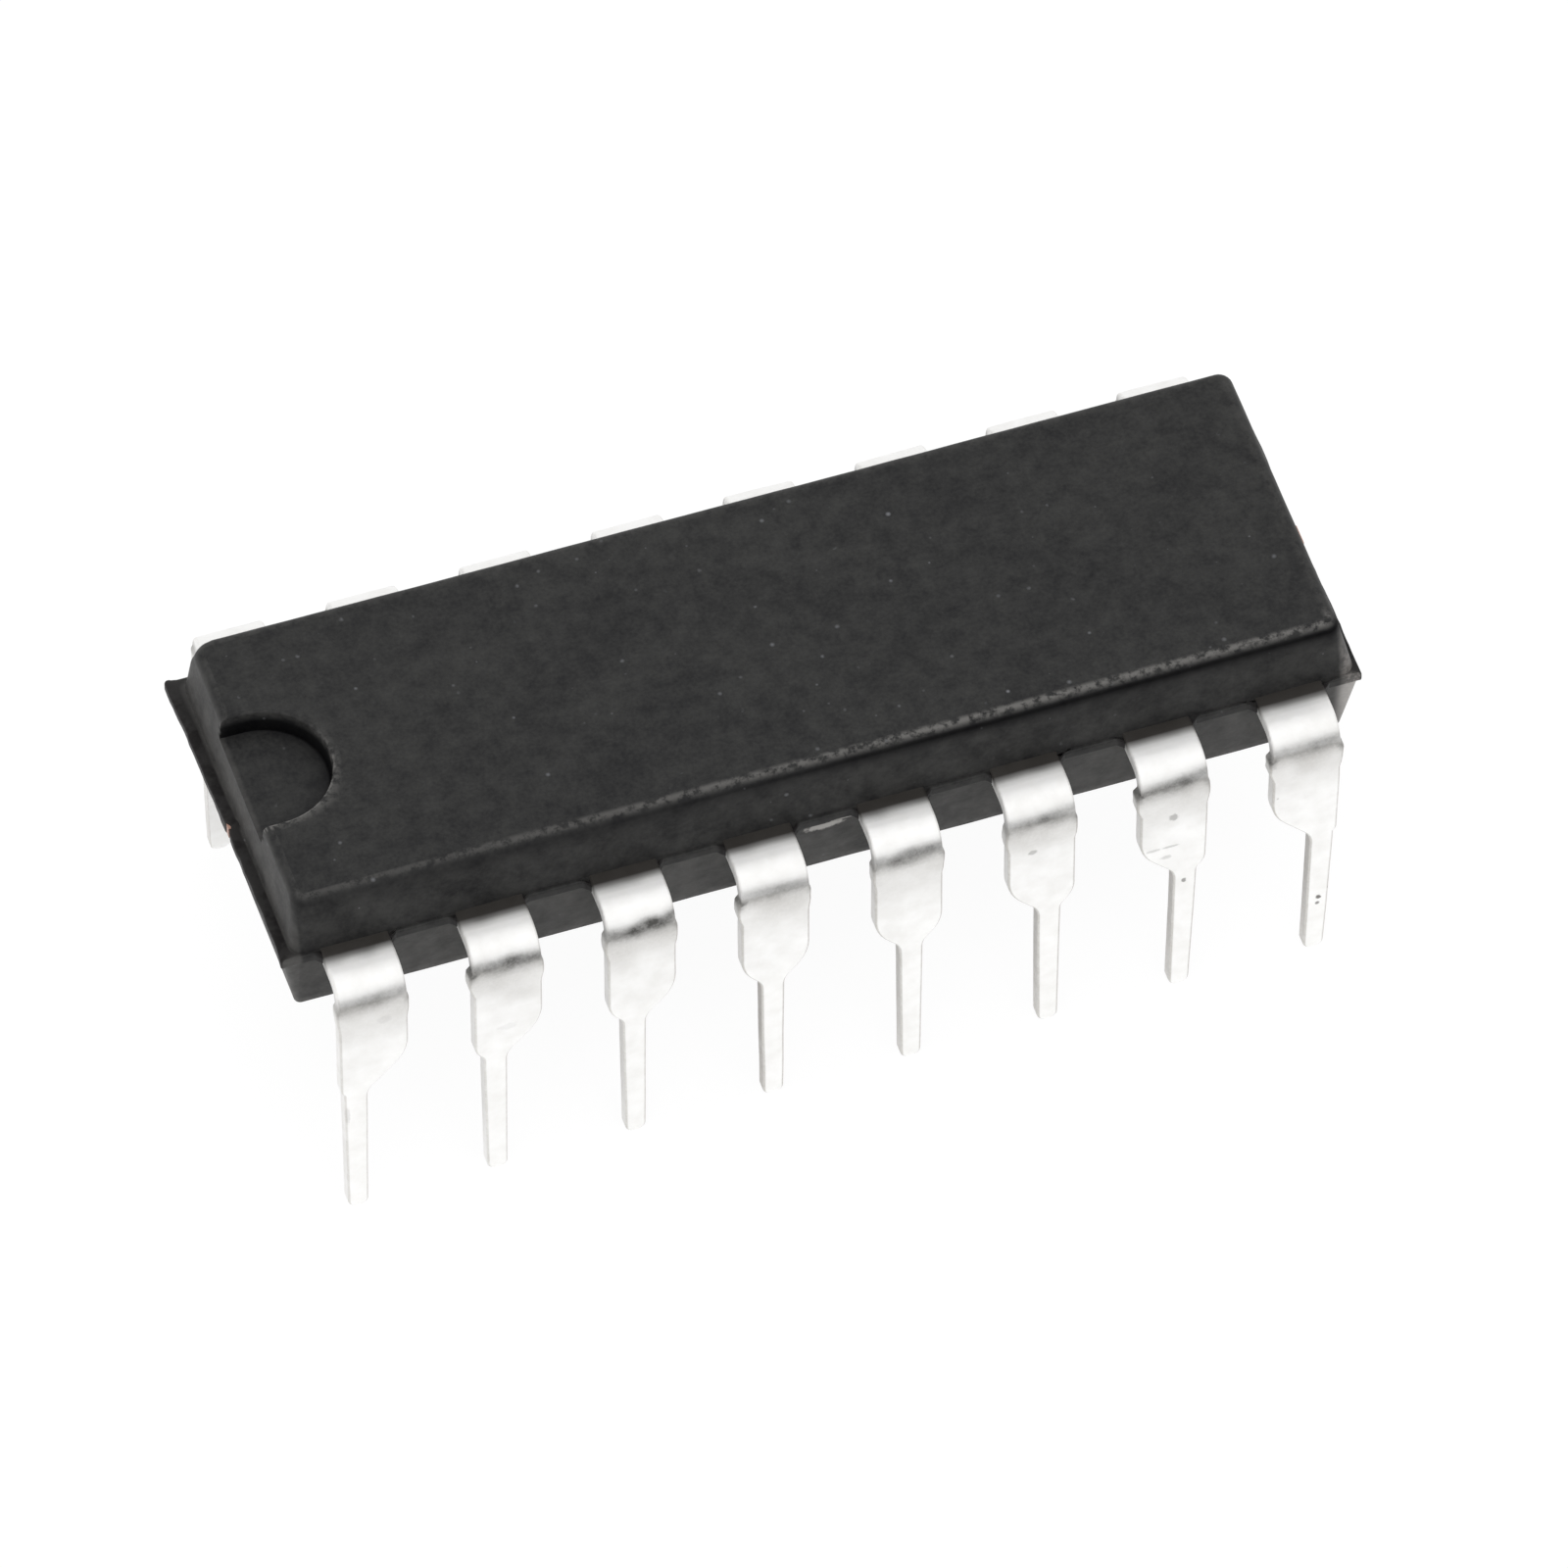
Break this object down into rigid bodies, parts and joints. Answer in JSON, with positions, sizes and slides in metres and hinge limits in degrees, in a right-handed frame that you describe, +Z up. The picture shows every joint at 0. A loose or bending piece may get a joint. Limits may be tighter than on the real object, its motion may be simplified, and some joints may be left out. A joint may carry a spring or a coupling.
{
  "type": "dual in-line integrated circuit",
  "caption": "Dual in-line integrated circuit: black moulded epoxy body with a half-round index notch and a row of bent, tin-plated leads along each side.",
  "frame": {"origin": "middle of the package in plan, in the plane of the lead tips that it stands on", "axes": "+X along the body away from the index notch, +Y across it towards the rear row of leads, +Z up through the marked face"},
  "size_m": [0.0198, 0.0084, 0.0075],
  "materials": {
    "moulding": "matt moulded epoxy with a fine grain",
    "tinned_leads": "satin tin plating over copper alloy",
    "lead_frame_copper": "bare copper alloy",
    "silver_epoxy": "silver-filled epoxy",
    "silicon": "polished silicon",
    "gold_wire": "bright gold wire"
  },
  "bodies": {
    "root": {"moulded_body": "moulding", "die_pad": "lead_frame_copper", "die_attach": "silver_epoxy", "silicon_die": "silicon", "lead_01": "tinned_leads", "lead_02": "tinned_leads", "lead_03": "tinned_leads", "lead_04": "tinned_leads", "lead_05": "tinned_leads", "lead_06": "tinned_leads", "lead_07": "tinned_leads", "lead_08": "tinned_leads", "lead_09": "tinned_leads", "lead_10": "tinned_leads", "lead_11": "tinned_leads", "lead_12": "tinned_leads", "lead_13": "tinned_leads", "lead_14": "tinned_leads", "lead_15": "tinned_leads", "lead_16": "tinned_leads", "bond_wire_01": "gold_wire", "bond_wire_02": "gold_wire", "bond_wire_03": "gold_wire", "bond_wire_04": "gold_wire", "bond_wire_05": "gold_wire", "bond_wire_06": "gold_wire", "bond_wire_07": "gold_wire", "bond_wire_08": "gold_wire", "bond_wire_09": "gold_wire", "bond_wire_10": "gold_wire", "bond_wire_11": "gold_wire", "bond_wire_12": "gold_wire", "bond_wire_13": "gold_wire", "bond_wire_14": "gold_wire", "bond_wire_15": "gold_wire", "bond_wire_16": "gold_wire"}
  },
  "joints": []
}
